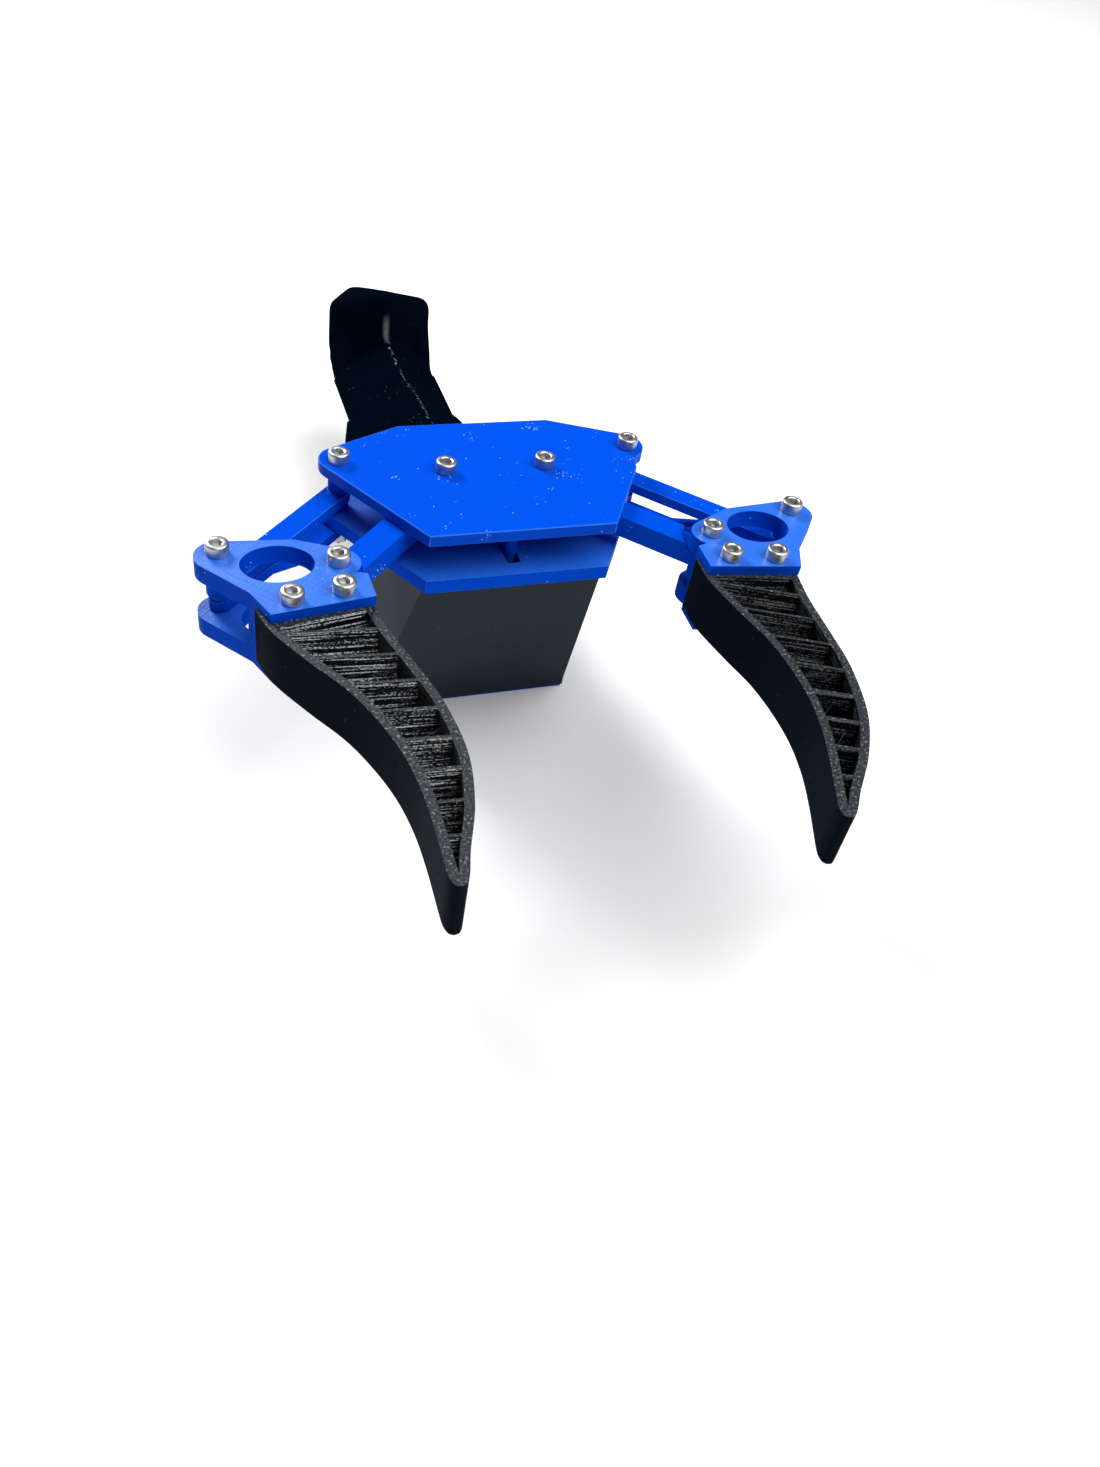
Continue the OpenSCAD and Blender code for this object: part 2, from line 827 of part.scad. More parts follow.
module finger() {
    top = -lip_t - 0.05;
    low = lip_low + 0.05;
    floor_t = 1;
    hole_r = 1.8;
    color(black) difference() {
        translate([0, 0, low]) linear_extrude(top - low) finger_outline();
        translate([0, 0, low + floor_t]) linear_extrude(top - low) finger_pockets();
        for (side = [-1, 1])
            translate([side * finger_screw_gap / 2, 0, 0]) rod_z(hole_r, low - 1, 1);
    }
}

module left_jaw_place() {
    at(jaw_outer) children();
}

module right_jaw_place() {
    translate([-jaw_outer[0], jaw_outer[1], 0]) mirror([1, 0, 0]) children();
}

module jaw_screws() {
    color(steel) for (p = concat([[0, 0], jaw_inner - jaw_outer], finger_screws)) at(p) screw(25);
}

module jaw_nuts() {
    color(steel) for (p = concat([[0, 0], jaw_inner - jaw_outer], finger_screws))
        at(p) translate([0, 0, -bracket_h]) nut();
}

module jaw_sleeve() {
    color(steel) at(jaw_inner - jaw_outer) sleeve(fork_low, -fork_t);
}

// Both fingers are the same print: the right one is turned the other way, not mirrored, and sits
// a little askew in its bracket
module left_finger() {
    at(jaw_outer + finger_mid) rotate([0, 0, finger_turn]) finger();
}

module right_finger() {
    at([-jaw_outer[0] - finger_mid[0], jaw_outer[1] + finger_mid[1]])
        rotate([0, 0, -finger_turn - right_lean]) finger();
}

// ---------- nodes ----------

row_frame() top_plate();
row_frame() lower_plate();
row_frame() plate_spacers();
row_frame() spacer_screws();
row_frame() palm_screws();
row_frame() palm_nuts();
row_frame() palm_sleeves();
row_frame() housing();
row_frame() housing_screws();
row_frame() base_plate();
row_frame() base_cover();
row_frame() base_screws();
row_frame() wrist_collar();
row_frame() collar_screws();
row_frame() collar_nuts();
row_frame() beam_screws();
row_frame() forearm_beam();
row_frame() elbow();
row_frame() elbow_screws();
row_frame() barrel_saddles();
row_frame() cylinder_barrel();
row_frame() rod_gland();
row_frame() cylinder_end_cap();
row_frame() drive_rack();
row_frame() guide_peg();
row_frame() drive_post();
row_frame() crosshead();
row_frame() piston_rod();
row_frame() piston();
row_frame() piston_seal();
row_frame() inner_link();  // left_inner_link
row_frame() outer_link();  // left_outer_link
row_frame() lower_link();  // left_lower_link
row_frame() mirror([1, 0, 0]) inner_link();  // right_inner_link
row_frame() mirror([1, 0, 0]) outer_link();  // right_outer_link
row_frame() mirror([1, 0, 0]) lower_link();  // right_lower_link
row_frame() left_jaw_place() bracket();  // left_bracket
row_frame() left_finger();
row_frame() left_jaw_place() jaw_screws();  // left_jaw_screws
row_frame() left_jaw_place() jaw_nuts();  // left_jaw_nuts
row_frame() left_jaw_place() jaw_sleeve();  // left_jaw_sleeve
row_frame() right_jaw_place() bracket();  // right_bracket
row_frame() right_finger();
row_frame() right_jaw_place() jaw_screws();  // right_jaw_screws
row_frame() right_jaw_place() jaw_nuts();  // right_jaw_nuts
row_frame() right_jaw_place() jaw_sleeve();  // right_jaw_sleeve
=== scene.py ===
"""Looks of the two-finger gripper: printed blue and black plastic, steel screws, a white studio."""

import json
import math
import random

import bmesh
import bpy
from mathutils import Matrix, Vector
from mathutils.bvhtree import BVHTree


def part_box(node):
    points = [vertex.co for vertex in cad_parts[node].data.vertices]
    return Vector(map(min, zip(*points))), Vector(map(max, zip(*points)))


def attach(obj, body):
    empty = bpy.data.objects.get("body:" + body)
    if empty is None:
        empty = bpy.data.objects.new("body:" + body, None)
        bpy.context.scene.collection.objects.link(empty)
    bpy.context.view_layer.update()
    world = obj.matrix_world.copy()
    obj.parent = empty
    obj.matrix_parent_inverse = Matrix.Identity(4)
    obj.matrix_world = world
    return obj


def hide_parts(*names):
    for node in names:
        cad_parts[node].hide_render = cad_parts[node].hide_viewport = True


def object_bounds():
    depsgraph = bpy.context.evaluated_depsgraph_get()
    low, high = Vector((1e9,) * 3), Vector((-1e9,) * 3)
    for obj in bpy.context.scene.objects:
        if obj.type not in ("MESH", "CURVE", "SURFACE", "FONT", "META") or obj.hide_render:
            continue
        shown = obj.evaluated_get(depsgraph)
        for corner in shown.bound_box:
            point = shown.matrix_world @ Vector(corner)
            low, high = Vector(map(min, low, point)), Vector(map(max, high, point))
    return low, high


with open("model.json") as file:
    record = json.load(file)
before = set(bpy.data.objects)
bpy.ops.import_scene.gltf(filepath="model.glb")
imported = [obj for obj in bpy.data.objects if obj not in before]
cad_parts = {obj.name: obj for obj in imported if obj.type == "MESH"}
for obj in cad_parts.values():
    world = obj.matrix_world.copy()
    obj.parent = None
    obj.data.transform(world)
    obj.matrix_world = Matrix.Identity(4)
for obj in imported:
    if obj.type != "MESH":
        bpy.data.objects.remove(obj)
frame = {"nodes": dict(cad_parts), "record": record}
cad_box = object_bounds()
nodes = frame["nodes"]
BODY_OF = {node: body for body, held in frame["record"]["behaviour"]["bodies"].items() for node in held}

MM = 0.001
random.seed(7)

# ---------- colours, linear ----------

BLUE = (0.0, 0.057, 0.53)
# Paler blue: painted sheen on level faces and painted highlight on blue edges
PALE_BLUE_PAINTED_LIGHT = (0.014, 0.122, 0.61)
BLACK = (0.021, 0.029, 0.038)
BLACK_SIDE = (0.003, 0.006, 0.011)
BLACK_DEEP = (0.0006, 0.0022, 0.0062)
BLACK_WORN = (0.028, 0.034, 0.042)
STEEL = (0.52, 0.52, 0.52)
PALE = (0.50, 0.51, 0.50)
BLUE_DUST = (0.36, 0.55, 0.92)
GREY_DUST = (0.10, 0.11, 0.12)
SEAM_GREY = (0.22, 0.24, 0.25)
# Painted highlight streak on the elbow's ridge
PAINTED_HIGHLIGHT_GREY = (0.11, 0.125, 0.14)
# Painted half-lit grey and painted glints in the finger pockets
PAINTED_POCKET_GREY = (0.04, 0.045, 0.048)
PAINTED_GLINT = (0.92, 0.94, 0.95)
RIM_GREY = (0.026, 0.031, 0.035)
RIM_GRAIN = (0.17, 0.18, 0.19)
# Lighter steel for the socket recess, a painted highlight
SOCKET_STEEL_PAINTED_LIGHT = (0.62, 0.62, 0.61)
NUT_STEEL = (0.42, 0.42, 0.41)
YELLOW_BRASS = (0.75, 0.55, 0.25)
FLOOR_WHITE = (0.78, 0.78, 0.78)

# ---------- shader helpers ----------


def rgba(value):
    """A socket as it is, or an RGB colour with its alpha."""
    return value if isinstance(value, bpy.types.NodeSocket) else (*value, 1.0)


def dimmed(colour, share):
    return tuple(c * share for c in colour)


class Shader:
    """A Principled material under construction, with short calls for the nodes it uses."""

    def __init__(self, name, roughness, specular=0.5, metallic=0.0):
        self.material = bpy.data.materials.new(name)
        self.material.use_nodes = True
        self.tree = self.material.node_tree
        self.bsdf = self.tree.nodes["Principled BSDF"]
        self.bsdf.inputs["Roughness"].default_value = roughness
        self.bsdf.inputs["Specular IOR Level"].default_value = specular
        self.bsdf.inputs["Metallic"].default_value = metallic
        self.place = self.node("ShaderNodeTexCoord").outputs["Object"]

    def node(self, kind, **settings):
        made = self.tree.nodes.new(kind)
        for key, value in settings.items():
            setattr(made, key, value)
        return made

    def feed(self, socket, value):
        if isinstance(value, bpy.types.NodeSocket):
            self.tree.links.new(value, socket)
        else:
            socket.default_value = value

    def math(self, operation, a, b=0.0):
        made = self.node("ShaderNodeMath", operation=operation)
        self.feed(made.inputs[0], a)
        self.feed(made.inputs[1], b)
        return made.outputs[0]

    def product(self, first, *others):
        for other in others:
            first = self.math("MULTIPLY", first, other)
        return first

    def scaled(self, scale, turn=0.0):
        """The place on the object, turned about Z and stretched by scale per axis."""
        turned = self.node("ShaderNodeVectorRotate", rotation_type="Z_AXIS")
        self.feed(turned.inputs["Vector"], self.place)
        turned.inputs["Angle"].default_value = math.radians(turn)
        made = self.node("ShaderNodeVectorMath", operation="MULTIPLY")
        self.feed(made.inputs[0], turned.outputs[0])
        made.inputs[1].default_value = scale
        return made.outputs[0]

    def noise(self, scale, detail=2.0, turn=0.0):
        """Noise with so many swings per metre along each axis, or along all three alike."""
        if not isinstance(scale, tuple):
            scale = (scale,) * 3
        made = self.node("ShaderNodeTexNoise")
        self.feed(made.inputs["Vector"], self.scaled(scale, turn))
        made.inputs["Scale"].default_value = 1.0
        made.inputs["Detail"].default_value = detail
        return made.outputs["Fac"]

    def between(self, value, low, high):
        """0 below low, 1 above high, and a straight ramp between them."""
        made = self.node("ShaderNodeMapRange")
        self.feed(made.inputs["Value"], value)
        made.inputs["From Min"].default_value = low
        made.inputs["From Max"].default_value = high
        return made.outputs[0]

    def mix(self, factor, a, b):
        made = self.node("ShaderNodeMix", data_type="RGBA")
        self.feed(made.inputs["Factor"], factor)
        self.feed(made.inputs[6], rgba(a))
        self.feed(made.inputs[7], rgba(b))
        return made.outputs[2]

    def specks(self, per_metre, size, share, patch, patch_share):
        """1 on small round specks, a share of the cells of a grid, gathered in patches."""
        cells = self.node("ShaderNodeTexVoronoi")
        self.feed(cells.inputs["Vector"], self.place)
        cells.inputs["Scale"].default_value = per_metre
        dot = self.math("LESS_THAN", cells.outputs["Distance"], size)
        chosen = self.node("ShaderNodeTexWhiteNoise")
        self.feed(chosen.inputs["Vector"], cells.outputs["Position"])
        kept = self.math("LESS_THAN", chosen.outputs["Value"], share)
        patches = self.between(self.noise(patch), patch_share, patch_share + 0.08)
        return self.product(dot, kept, patches)

    def split(self, vector):
        """The X, Y and Z of a vector."""
        made = self.node("ShaderNodeSeparateXYZ")
        self.feed(made.inputs[0], vector)
        return made.outputs["X"], made.outputs["Y"], made.outputs["Z"]

    def steepness(self):
        """0 on level faces and 1 on upright ones."""
        normal = self.node("ShaderNodeTexCoord").outputs["Normal"]
        return self.between(self.math("ABSOLUTE", self.split(normal)[2]), 0.75, 0.35)

    def bump(self, height, depth):
        made = self.node("ShaderNodeBump")
        made.inputs["Strength"].default_value = 1.0
        made.inputs["Distance"].default_value = depth
        self.feed(made.inputs["Height"], height)
        self.feed(self.bsdf.inputs["Normal"], made.outputs["Normal"])

    def colour(self, value):
        self.feed(self.bsdf.inputs["Base Color"], rgba(value))

    def rough(self, value):
        self.feed(self.bsdf.inputs["Roughness"], value)


LAYER_PITCH = 0.45 * MM
RASTER_PITCH = 0.55 * MM


def layered(s):
    """Heights of printed layers: irregular ridges, stacked along Z."""
    fine = s.noise((60, 60, 1 / LAYER_PITCH), 1.0)
    coarse = s.noise((25, 25, 0.3 / LAYER_PITCH), 1.0)
    return s.math("ADD", fine, coarse)


def raster(s, turn):
    """Heights of the lines that a print head leaves on a level face."""
    return s.noise((25, 1 / RASTER_PITCH, 25), 1.0, turn)


def printed(name, colour, roughness, specular, dust=0.5, dust_colour=BLUE_DUST, lines=0.05, hatch=0.03,
            mottle=0.05, weave_share=0.2, extra=None):
    """Printed plastic: layer lines on upright faces, diagonal hatching on level ones, and dust.

    lines and hatch are heights in millimetres, mottle is how uneven the colour is, weave_share is how
    much of that follows the hatching, and extra adds marks of its own.
    """
    s = Shader(name, roughness, specular)
    steep = s.steepness()
    layers = layered(s)
    tone = s.noise(90, 3.0)
    weave = s.math("MAXIMUM", raster(s, 45), raster(s, -45))
    shade = s.math("ADD", s.product(tone, 0.5), s.product(weave, weave_share))
    darker = dimmed(colour, 1 - 2 * mottle)
    level_colour = s.mix(s.between(shade, 0.25, 0.75), darker, colour)
    upright_colour = s.mix(s.between(layers, 0.8, 1.25), darker, colour)
    plastic = s.mix(steep, level_colour, upright_colour)
    clusters = s.specks(1000, 0.2, 0.6 * dust, 160, 0.60)
    lone = s.specks(420, 0.07, 0.12 * dust, 30, 0.3)
    scratches = s.between(s.noise((2400, 150, 300), turn=65), 0.80 - 0.02 * dust, 0.83)
    marks = s.math("MAXIMUM", s.math("MAXIMUM", clusters, lone), s.product(scratches, 0.5))
    finished = s.mix(s.product(marks, 0.75), plastic, dust_colour)
    if extra:
        finished = extra(s, finished)
    s.colour(finished)
    s.rough(s.math("ADD", s.product(tone, 2 * mottle), roughness - mottle))
    height = s.node("ShaderNodeMix", data_type="FLOAT")
    s.feed(height.inputs["Factor"], steep)
    s.feed(height.inputs[2], s.product(weave, hatch))
    s.feed(height.inputs[3], s.product(layers, lines))
    s.bump(height.outputs[0], MM)
    return s.material


def printed_black(name, colour, roughness, specular, **settings):
    return printed(name, colour, roughness, specular, dust_colour=GREY_DUST, **settings)


def band(s, value, middle, half, soft):
    """1 where a value is within half of middle, falling to 0 over soft."""
    return s.between(s.math("ABSOLUTE", s.math("SUBTRACT", value, middle)), half + soft, half)


def beam_scars(s, plastic):
    """A rough, broken seam along the forearm's upper ridge."""
    x, _, z = s.split(s.place)
    wander = s.product(s.math("SUBTRACT", s.noise((0, 350, 0)), 0.5), 1.6 * MM)
    seam = band(s, s.math("ADD", x, wander), 0.3 * MM, 0.3 * MM, 0.35 * MM)
    above = s.between(z, 11.5 * MM, 12.5 * MM)
    grain = s.between(s.noise(900, 3.0), 0.56, 0.66)
    return s.mix(s.product(seam, above, grain), plastic, SEAM_GREY)


def elbow_scars_and_painted_highlight(s, plastic):
    """A painted highlight streak down the elbow's ridge and a scarred crease where it meets the forearm."""
    x, y, z = s.split(s.place)
    ridge = 0.8 * MM
    front = s.between(y, -15 * MM, -17 * MM)
    slope = s.product(s.math("SUBTRACT", x, 0.6 * MM), 0.72)
    crease = band(s, s.math("SUBTRACT", z, s.math("ADD", slope, 12.5 * MM)), 0.0, 0.3 * MM, 0.9 * MM)
    crumbs = s.between(s.noise(1100, 3.0), 0.56, 0.66)
    scar = s.product(crease, s.between(x, ridge, 0.0), front, crumbs)
    # Painted highlight: a lighter streak down the front of the ridge, in place of the light it reflects.
    along = band(s, z, 16.5 * MM, 1.5 * MM, 3.5 * MM)
    streak = s.product(band(s, x, ridge, 0.3 * MM, 1.1 * MM), along, front)
    scarred = s.mix(s.product(scar, 0.8), plastic, GREY_DUST)
    return s.mix(s.product(streak, 0.8), scarred, PAINTED_HIGHLIGHT_GREY)


def pocket_painted_glints(name, painted_light):
    """The finger's inner walls: glossy beaded layers, with painted glints and a painted half-lit grey on a
    share of them.
    """
    s = Shader(name, 0.35, 0.3)
    streaks = s.noise((50, 50, 3000))
    beads = s.noise((1900, 1900, 2700))
    lit = s.math("ADD", s.product(streaks, 0.62), s.product(beads, 0.38))
    # Painted light: a half-lit grey and bright glints along the beads and layer lines, dimmer where less
    # light is painted.
    dull = s.mix(s.between(lit, 0.47, 0.55), BLACK_DEEP, dimmed(PAINTED_POCKET_GREY, painted_light))
    s.colour(s.mix(s.between(lit, 0.545, 0.58), dull, dimmed(PAINTED_GLINT, painted_light)))
    s.bump(lit, 0.35 * MM)
    return s.material


def raw_edge(name):
    """The last layer on the finger's walls: dull, with a coarse grain."""
    s = Shader(name, 0.5, 0.3)
    grain = s.noise(1500, 4.0)
    pale = s.mix(s.between(grain, 0.44, 0.58), BLACK_SIDE, RIM_GREY)
    s.colour(s.mix(s.between(grain, 0.60, 0.68), pale, RIM_GRAIN))
    s.bump(grain, 0.35 * MM)
    return s.material


def turned_steel(name, colour, roughness):
    """Machined metal with fine turning marks and a little staining."""
    s = Shader(name, roughness, metallic=1.0)
    stain = s.noise(500)
    s.colour(s.mix(s.between(stain, 0.3, 0.75), dimmed(colour, 0.85), colour))
    s.rough(s.math("ADD", s.product(stain, 0.12), roughness - 0.06))
    s.bump(s.noise((300, 300, 6000)), 0.01 * MM)
    return s.material


TOP_BLUE = printed("top_plate_blue", BLUE, 0.38, 0.02, dust=1.6, lines=0.10, hatch=0.006, mottle=0.02)
PLAIN_BLUE = printed("printed_blue", BLUE, 0.42, 0.008, dust=1.0, lines=0.06)
# Level faces: a paler blue, a painted sheen, with a higher specular that is real.
PAINTED_SHEEN_BLUE = printed("blue_painted_sheen", PALE_BLUE_PAINTED_LIGHT, 0.36, 0.6, dust=0.4, hatch=0.11, mottle=0.10, weave_share=0.6)
# Rounded blue edges: a paler blue, a painted highlight.
EDGE_BLUE_PAINTED_HIGHLIGHT = printed("edge_blue_painted_highlight", PALE_BLUE_PAINTED_LIGHT, 0.5, 0.12, dust=0.1, lines=0.03, hatch=0.02)
PLAIN_BLACK = printed_black("printed_black", BLACK, 0.55, 0.04, dust=1.0, lines=0.02, hatch=0.02, mottle=0.03)
FINGER_BLACK = printed_black("finger_black", BLACK_SIDE, 0.5, 0.004, dust=0.6, lines=0.008, hatch=0.01,
                             mottle=0.02)
WORN_BLACK = printed_black("worn_black", BLACK_WORN, 0.5, 0.1, dust=0.2, lines=0.04, hatch=0.04)
DEEP_BLACK = printed_black("smooth_black", BLACK_DEEP, 0.4, 0.0, dust=0.15, lines=0.004, hatch=0.004,
                           mottle=0.02)
BEAM_BLACK = printed_black("beam_black", BLACK_DEEP, 0.4, 0.0, lines=0.006, hatch=0.004, mottle=0.02,
                           extra=beam_scars)
ELBOW_BLACK = printed_black("elbow_black", BLACK_DEEP, 0.4, 0.0, dust=0.3, lines=0.006, hatch=0.004,
                            mottle=0.02, extra=elbow_scars_and_painted_highlight)
MILKY = printed("milky_plastic", PALE, 0.4, 0.5, dust=0.1, dust_colour=GREY_DUST, lines=0.02, hatch=0.02)
# The left finger's pockets get full painted glints, the right finger's a dimmer copy (painted shade), and
# pocket faces not facing along Y a darker copy still (painted shade).
LEFT_POCKET = pocket_painted_glints("left_finger_pocket", 1.0)
RIGHT_POCKET = pocket_painted_glints("right_finger_pocket", 0.3)
PAINTED_SHADE_POCKET = pocket_painted_glints("finger_pocket_side_painted_shade", 0.1)
RIM = raw_edge("finger_rim")
SCREW = turned_steel("screw_steel", STEEL, 0.38)
# The socket recess gets a lighter, rougher steel; the lighter colour is a painted highlight, the roughness is
# real.
SOCKET = turned_steel("socket_steel_painted_light", SOCKET_STEEL_PAINTED_LIGHT, 0.55)
BRASS = turned_steel("sleeve_brass", YELLOW_BRASS, 0.3)
NUT = turned_steel("nut_steel", NUT_STEEL, 0.38)

# ---------- mesh helpers ----------

WELD = 1e-7
UP = Vector((0, 0, 1))


def merged(node):
    """The node's mesh with its seams closed and its flat areas joined into large faces."""
    bm = bmesh.new()
    bm.from_mesh(nodes[node].data)
    bmesh.ops.remove_doubles(bm, verts=bm.verts, dist=WELD)
    bmesh.ops.dissolve_limit(bm, angle_limit=math.radians(1), verts=bm.verts, edges=bm.edges)
    return bm


def to_mesh(bm, name):
    mesh = bpy.data.meshes.new(name)
    bm.to_mesh(mesh)
    bm.free()
    return mesh


def add_object(name, data):
    made = bpy.data.objects.new(name, data)
    bpy.context.collection.objects.link(made)
    return made


def set_materials(mesh, materials):
    mesh.materials.clear()
    for material in materials:
        mesh.materials.append(material)


def add_piece(name, mesh, materials, node=None, body=None):
    """Puts a mesh on its body with its materials, in place of the CAD node where one is named."""
    piece = add_object(name, mesh)
    set_materials(mesh, materials)
    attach(piece, body or BODY_OF[node])
    if node:
        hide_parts(node)
    return piece


def apply_modifiers(piece):
    """Bakes the piece's modifiers into its mesh."""
    shown = piece.evaluated_get(bpy.context.evaluated_depsgraph_get())
    baked = bpy.data.meshes.new_from_object(shown)
    piece.modifiers.clear()
    piece.data = baked


MAIN_SLOT, EDGE_SLOT, LEVEL_SLOT = range(3)


def softened(node, width, main, edge, segments=2, angle=28, level=None):
    """A node rebuilt with rounded edges; edges and level faces can take other materials, such as painted
    highlight and sheen.
    """
    mesh = to_mesh(merged(node), node + "_print")
    for face in mesh.polygons:
        face.use_smooth = True
    mesh.set_sharp_from_angle(angle=math.radians(angle))
    piece = add_piece(node + "_print", mesh, [main, edge], node)
    bevel = piece.modifiers.new("edges", "BEVEL")
    bevel.width = width
    bevel.segments = segments
    bevel.limit_method = "ANGLE"
    bevel.angle_limit = math.radians(angle)
    bevel.material = EDGE_SLOT
    flat = piece.modifiers.new("flat", "WEIGHTED_NORMAL")
    flat.weight = 100
    apply_modifiers(piece)
    if level:
        piece.data.materials.append(level)
        for face in piece.data.polygons:
            if face.material_index == MAIN_SLOT and face.normal.z > 0.9:
                face.material_index = LEVEL_SLOT
    return piece


# ---------- printed parts ----------

# Width of each piece's rounded edges, in millimetres
BLUE_EDGES = {
    "top_plate": 0.25,
    "plate_spacers": 0.2,
    "base_cover": 0.1,
    "barrel_saddles": 0.2,
    "rod_gland": 0.2,
    "cylinder_end_cap": 0.2,
    "drive_rack": 0.1,
    "guide_peg": 0.3,
    "crosshead": 0.4,
    "piston": 0.1,
}
for place in ("inner", "outer", "lower"):
    for side in ("left", "right"):
        BLUE_EDGES[f"{side}_{place}_link"] = 0.2
BLACK_PARTS = {
    "housing": (PLAIN_BLACK, WORN_BLACK, 0.5),
    "base_plate": (PLAIN_BLACK, WORN_BLACK, 0.4),
    "wrist_collar": (BEAM_BLACK, BEAM_BLACK, 1.2),
    "forearm_beam": (BEAM_BLACK, BEAM_BLACK, 0.5),
}
# Blue parts: their rounded edges take a paler blue, a painted highlight.
for node, width in BLUE_EDGES.items():
    softened(node, width * MM, TOP_BLUE if node == "top_plate" else PLAIN_BLUE, EDGE_BLUE_PAINTED_HIGHLIGHT)
# The lower plate's and brackets' level faces take a paler blue, a painted sheen.
for node in ("lower_plate", "left_bracket", "right_bracket"):
    softened(node, 0.35 * MM, PLAIN_BLUE, EDGE_BLUE_PAINTED_HIGHLIGHT, level=PAINTED_SHEEN_BLUE)
for node, (finish, worn, width) in BLACK_PARTS.items():
    softened(node, width * MM, finish, worn)


def smooth_elbow():
    """The elbow with all its edges melted into each other, as its print is."""
    piece = add_piece("elbow_print", to_mesh(merged("elbow"), "elbow_print"), [ELBOW_BLACK], "elbow")
    grid = piece.modifiers.new("grid", "REMESH")
    grid.mode = "VOXEL"
    grid.voxel_size = 0.6 * MM
    melt = piece.modifiers.new("melt", "SMOOTH")
    melt.factor = 0.5
    melt.iterations = 45
    apply_modifiers(piece)
    for face in piece.data.polygons:
        face.use_smooth = True


smooth_elbow()

# ---------- fingers ----------

SIDE_SLOT, POCKET_SLOT, RIM_SLOT, PAINTED_SHADE_SLOT = range(4)
POCKET_REACH = 30 * MM
STRINGS = 26
STRING_R = 0.06 * MM
STRING_REACH = 14 * MM
STRING_SAG = 0.5 * MM
STRING_STEPS = 6


def finger(node, pocket):
    """A finger whose pockets and top rim have the rough finish of bare print, the pockets with painted glints
    and painted shade.
    """
    piece = softened(node, 0.3 * MM, FINGER_BLACK, FINGER_BLACK, angle=30)
    mesh = piece.data
    set_materials(mesh, (FINGER_BLACK, pocket, RIM, PAINTED_SHADE_POCKET))
    tree = BVHTree.FromPolygons([v.co for v in mesh.vertices], [tuple(p.vertices) for p in mesh.polygons])
    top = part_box(node)[1].z
    for face in mesh.polygons:
        start = face.center + face.normal * 0.02 * MM
        faces_wall = tree.ray_cast(start, face.normal, POCKET_REACH)[0] is not None
        pocket_floor = face.normal.z > 0.8 and face.center.z < top - MM
        if face.center.z > top - 0.35 * MM and face.normal.z > 0.3:
            face.material_index = RIM_SLOT
        elif faces_wall or pocket_floor:
            # Pocket walls facing along Y get the pocket's painted glints; other pocket faces get the darker
            # copy, painted shade.
            face.material_index = POCKET_SLOT if abs(face.normal.y) > 0.75 else PAINTED_SHADE_SLOT
        else:
            face.material_index = SIDE_SLOT
    strings(node, tree, top)


def string_ends(tree, low, high, top):
    """The two walls of a pocket that a string hangs between, from a random place, or None."""
    height = random.uniform(low.z + 5 * MM, top - 2 * MM)
    at = Vector((random.uniform(low.x, high.x), random.uniform(low.y, high.y), height))
    if tree.ray_cast(at, UP)[0] or not tree.ray_cast(at, -UP)[0]:
        return None
    turn = random.uniform(-0.9, 0.9)
    way = Vector((math.cos(turn), math.sin(turn), random.uniform(-0.25, 0.25))).normalized()
    ends = [tree.ray_cast(at, way * side, STRING_REACH)[0] for side in (-1, 1)]
    return None if None in ends else (ends, way)


def string(bm, ends, way):
    """A three-sided tube between two points, of uneven thickness, that sags in the middle."""
    across = way.cross(UP).normalized()
    rings = []
    for k in range(STRING_STEPS + 1):
        share = k / STRING_STEPS
        centre = ends[0].lerp(ends[1], share) - UP * STRING_SAG * math.sin(math.pi * share)
        size = STRING_R * random.uniform(0.6, 1.5)
        ring = []
        for a in (0.5, 2.6, 4.7):
            ring.append(bm.verts.new(centre + across * size * math.cos(a) + UP * size * math.sin(a)))
        rings.append(ring)
    for near, far in zip(rings, rings[1:]):
        for i in range(3):
            n = (i + 1) % 3
            bm.faces.new((near[i], near[n], far[n], far[i]))
    bm.faces.new(reversed(rings[0]))
    bm.faces.new(rings[-1])


def strings(node, tree, top):
    """Hair-thin strings of plastic that the print head drew across a finger's pockets."""
    low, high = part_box(node)
    bm = bmesh.new()
    made = 0
    while made < STRINGS:
        found = string_ends(tree, low, high, top)
        if found:
            string(bm, *found)
            made += 1
    bmesh.ops.recalc_face_normals(bm, faces=bm.faces)
    add_piece(node + "_strings", to_mesh(bm, node + "_strings"), [WORN_BLACK], body=BODY_OF[node])


finger("left_finger", LEFT_POCKET)
finger("right_finger", RIGHT_POCKET)

# ---------- screws and nuts ----------

# A screw's own sizes, in millimetres
HEAD_R = 2.75
HEAD_H = 3.0
SHANK_R = 1.49
TIP_R = 1.1
THREAD_ROOT_R = 1.22
THREAD_CREST_R = 1.48
THREAD_PITCH = 0.5
THREAD_L = 12.0
SOCKET_APOTHEM = 1.25
SOCKET_FLOOR = 1.6
AROUND = 48


def circle(radius):
    """The same radius in every direction."""
    return lambda angle: radius


def recess(angle):
    """Radius of the socket's hexagon in a direction, in degrees from one of its corners."""
    return SOCKET_APOTHEM / math.cos(math.radians((angle % 60) - 30))


# The rings of a head from its underside up, and on to its socket
HEAD_RINGS = [
    (0.0, circle(HEAD_R - 0.2)),
    (0.15, circle(HEAD_R - 0.03)),
    (2.55, circle(HEAD_R - 0.02)),
    (2.75, circle(HEAD_R - 0.1)),
    (2.92, circle(HEAD_R - 0.3)),
    (HEAD_H, circle(HEAD_R - 0.55)),
    (HEAD_H, circle(1.75)),
]
SOCKET_RINGS = [
    (2.88, circle(1.6)),
    (2.82, recess),
    (SOCKET_FLOOR, recess),
    (SOCKET_FLOOR, circle(0.8)),
    (1.35, circle(0.0)),
]


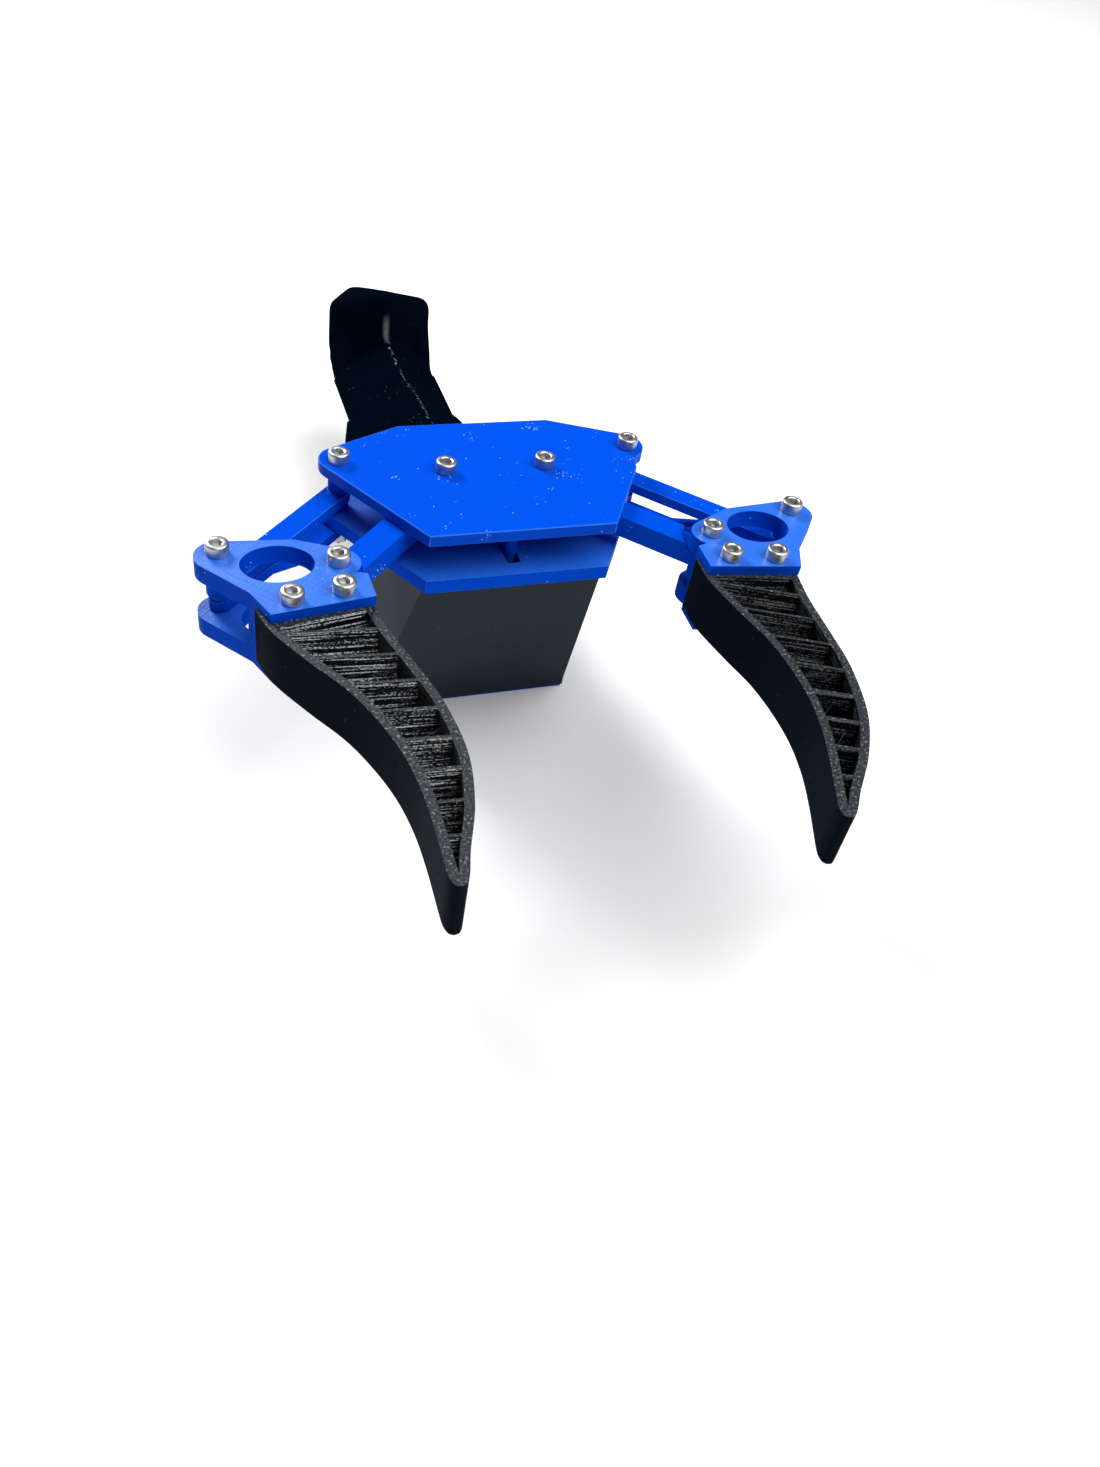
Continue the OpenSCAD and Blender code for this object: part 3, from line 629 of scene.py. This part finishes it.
def screw_rings(length):
    """The screw from tip to socket floor: each ring is a height and its radius by direction."""
    threaded = min(length - 0.5, THREAD_L)
    rings = [(-length, circle(0.0)), (-length, circle(TIP_R))]
    for i in range(int(threaded / THREAD_PITCH)):
        z = -length + 0.25 + i * THREAD_PITCH
        rings += [(z, circle(THREAD_ROOT_R)), (z + THREAD_PITCH / 2, circle(THREAD_CREST_R))]
    rings += [(-length + threaded + 0.3, circle(SHANK_R)), (0.0, circle(SHANK_R))]
    return rings + HEAD_RINGS + SOCKET_RINGS


def lathe(bm, rings, place, spin):
    """Adds the rings' surface to bm, moved to its place; the socket gets slot 1."""
    loops = []
    for z, radius in rings:
        loop = []
        for k in range(AROUND):
            angle = k * 360 / AROUND
            r = radius(angle)
            a = math.radians(angle + spin)
            loop.append(bm.verts.new(place @ Vector((r * math.cos(a), r * math.sin(a), z))))
        loops.append(loop)
    socket_from = len(rings) - len(SOCKET_RINGS) - 1
    for i in range(len(loops) - 1):
        for k in range(AROUND):
            n = (k + 1) % AROUND
            face = bm.faces.new((loops[i][k], loops[i][n], loops[i + 1][n], loops[i + 1][k]))
            face.material_index = 1 if i >= socket_from else 0
            face.smooth = True


def solids(node):
    """The box corners of each separate solid of a node."""
    bm = bmesh.new()
    bm.from_mesh(nodes[node].data)
    bmesh.ops.remove_doubles(bm, verts=bm.verts, dist=WELD)
    left = set(bm.verts)
    found = []
    while left:
        grown = [left.pop()]
        for vert in grown:
            for edge in vert.link_edges:
                other = edge.other_vert(vert)
                if other in left:
                    left.remove(other)
                    grown.append(other)
        found.append([Vector(pick(v.co[i] for v in grown) for i in range(3)) for pick in (min, max)])
    bm.free()
    return found


HEAD_WAY = {
    "palm_screws": (0, 0, 1),
    "left_jaw_screws": (0, 0, 1),
    "right_jaw_screws": (0, 0, 1),
    "spacer_screws": (0, 0, -1),
    "housing_screws": (0, 0, -1),
    "base_screws": (0, 0, -1),
    "beam_screws": (0, 0, -1),
    "elbow_screws": (0, 0, -1),
    "collar_screws": (0, 1, 0),
}


def screws(node, way):
    """Socket head cap screws in place of a node's plain ones, each turned to its own angle."""
    bm = bmesh.new()
    way = Vector(way)
    for low, high in solids(node):
        middle = (low + high) / 2
        length = abs((high - low).dot(way)) / MM - HEAD_H
        seat = middle + way * (length / 2 - HEAD_H / 2) * MM
        turn = way.to_track_quat("Z", "Y").to_matrix().to_4x4()
        place = Matrix.Translation(seat) @ turn @ Matrix.Scale(MM, 4)
        lathe(bm, screw_rings(length), place, random.uniform(0, 60))
    bmesh.ops.remove_doubles(bm, verts=bm.verts, dist=WELD)
    bmesh.ops.recalc_face_normals(bm, faces=bm.faces)
    mesh = to_mesh(bm, node + "_cap")
    mesh.set_sharp_from_angle(angle=math.radians(32))
    add_piece(node + "_cap", mesh, [SCREW, SOCKET], node)


for node, way in HEAD_WAY.items():
    screws(node, way)
for node in ("palm_nuts", "collar_nuts", "left_jaw_nuts", "right_jaw_nuts"):
    softened(node, 0.25 * MM, NUT, NUT, segments=1, angle=40)

# ---------- carried-over nodes ----------

FINISH = {
    "palm_sleeves": BRASS,
    "left_jaw_sleeve": BRASS,
    "right_jaw_sleeve": BRASS,
    "drive_post": SCREW,
    "piston_rod": SCREW,
    "piston_seal": DEEP_BLACK,
    "cylinder_barrel": MILKY,
}
for node, finish in FINISH.items():
    for slot in nodes[node].material_slots:
        slot.material = finish

# ---------- studio ----------

CAMERA_AT = Vector((-93.5, -409.25, 215.5)) * MM
CAMERA_TURN = (45.22, -8.05, -18.05)
LENS = 29.26
LIT_AT = Vector((0, -160, 20)) * MM
FLOOR_REACH = 4.0
SKY = 0.08


def floor():
    """A wide white floor under the base."""
    bm = bmesh.new()
    level = cad_box[0].z
    corners = []
    for x, y in ((-1, -1), (1, -1), (1, 1), (-1, 1)):
        corners.append(bm.verts.new((x * FLOOR_REACH, y * FLOOR_REACH, level)))
    bm.faces.new(corners)
    mesh = to_mesh(bm, "floor")
    s = Shader("floor_white", 0.9, 0.0)
    s.colour(FLOOR_WHITE)
    mesh.materials.append(s.material)
    add_object("floor", mesh)


def softbox(name, towards, distance, size, power):
    """A square light that shines on the gripper from a direction."""
    light = bpy.data.lights.new(name, "AREA")
    light.shape = "SQUARE"
    light.size = size
    light.energy = power
    lamp = add_object(name, light)
    way = Vector(towards).normalized()
    lamp.location = LIT_AT + way * distance
    lamp.rotation_euler = way.to_track_quat("Z", "Y").to_euler()


def studio():
    """A faint white sky, a large soft light at the right and a small one behind at the left."""
    world = bpy.data.worlds.new("studio")
    bpy.context.scene.world = world
    world.use_nodes = True
    background = world.node_tree.nodes["Background"]
    background.inputs[0].default_value = (1, 1, 1, 1)
    background.inputs[1].default_value = SKY
    softbox("key", (0.42, -0.32, 0.95), 2.0, 2.2, 71)
    softbox("rim", (-0.35, 0.75, 0.63), 1.5, 0.5, 24)
    camera = add_object("camera", bpy.data.cameras.new("camera"))
    camera.data.sensor_width = 36
    camera.data.lens = LENS
    camera.data.clip_start = 0.01
    camera.location = CAMERA_AT
    camera.rotation_euler = [math.radians(a) for a in CAMERA_TURN]
    bpy.context.scene.camera = camera
    bpy.context.scene.view_settings.view_transform = "Standard"


floor()
studio()
